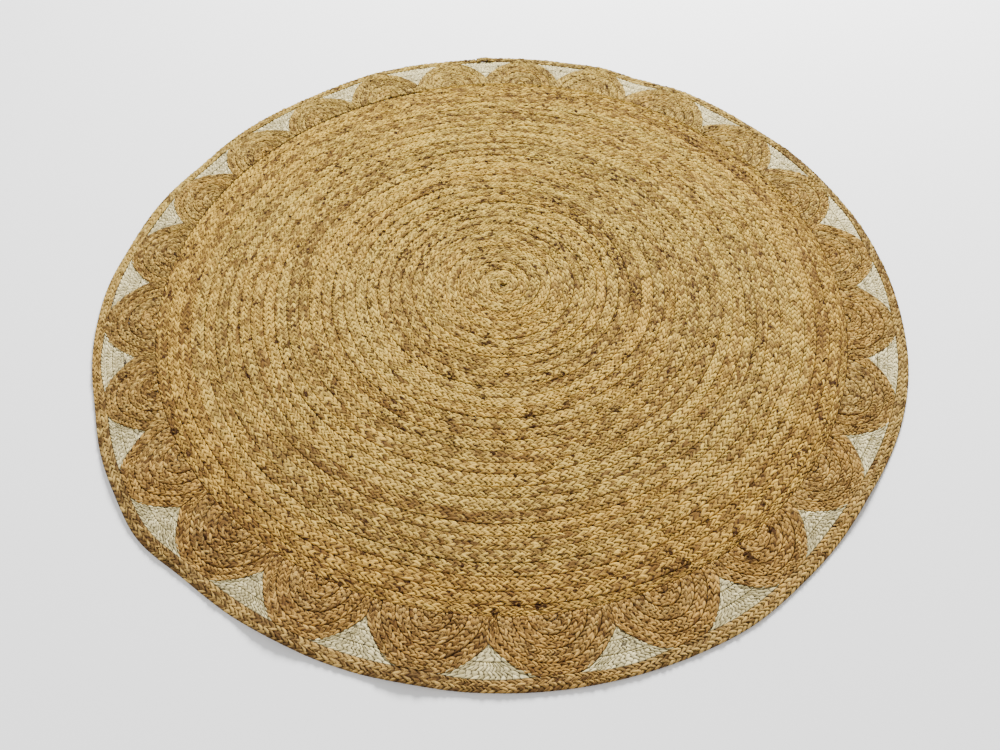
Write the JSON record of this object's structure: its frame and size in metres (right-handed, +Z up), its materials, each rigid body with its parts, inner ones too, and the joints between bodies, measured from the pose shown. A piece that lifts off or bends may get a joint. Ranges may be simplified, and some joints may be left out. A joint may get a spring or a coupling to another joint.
{
  "type": "round jute rug",
  "caption": "Round rug of braided jute: a spiral disc ringed by coiled scallops, with pale cotton gussets between them and a braided border, lying flat.",
  "frame": {"origin": "the heart of the spiral disc, on the flat underside that lies on the floor", "axes": "+Z up through the rug's thickness, +Y away from the picture's camera, +X to the camera's right"},
  "size_m": [1.5081, 1.5041, 0.0146],
  "materials": {
    "jute_plait": "coarse golden-straw jute plait, matt",
    "brown_jute_plait": "coarse brown jute plait, matt",
    "border_plait": "golden-brown jute plait, matt",
    "cotton_plait": "off-white cotton plait, matt"
  },
  "bodies": {
    "root": {"disc": "jute_plait", "scallop_01": "brown_jute_plait", "gusset_01": "cotton_plait", "scallop_02": "brown_jute_plait", "gusset_02": "cotton_plait", "scallop_03": "brown_jute_plait", "gusset_03": "cotton_plait", "scallop_04": "brown_jute_plait", "gusset_04": "cotton_plait", "scallop_05": "brown_jute_plait", "gusset_05": "cotton_plait", "scallop_06": "brown_jute_plait", "gusset_06": "cotton_plait", "scallop_07": "brown_jute_plait", "gusset_07": "cotton_plait", "scallop_08": "brown_jute_plait", "gusset_08": "cotton_plait", "scallop_09": "brown_jute_plait", "gusset_09": "cotton_plait", "scallop_10": "brown_jute_plait", "gusset_10": "cotton_plait", "scallop_11": "brown_jute_plait", "gusset_11": "cotton_plait", "scallop_12": "brown_jute_plait", "gusset_12": "cotton_plait", "scallop_13": "brown_jute_plait", "gusset_13": "cotton_plait", "scallop_14": "brown_jute_plait", "gusset_14": "cotton_plait", "scallop_15": "brown_jute_plait", "gusset_15": "cotton_plait", "scallop_16": "brown_jute_plait", "gusset_16": "cotton_plait", "scallop_17": "brown_jute_plait", "gusset_17": "cotton_plait", "scallop_18": "brown_jute_plait", "gusset_18": "cotton_plait", "scallop_19": "brown_jute_plait", "gusset_19": "cotton_plait", "scallop_20": "brown_jute_plait", "gusset_20": "cotton_plait", "scallop_21": "brown_jute_plait", "gusset_21": "cotton_plait", "scallop_22": "brown_jute_plait", "gusset_22": "cotton_plait", "scallop_23": "brown_jute_plait", "gusset_23": "cotton_plait", "scallop_24": "brown_jute_plait", "gusset_24": "cotton_plait", "border": "border_plait"}
  },
  "joints": []
}
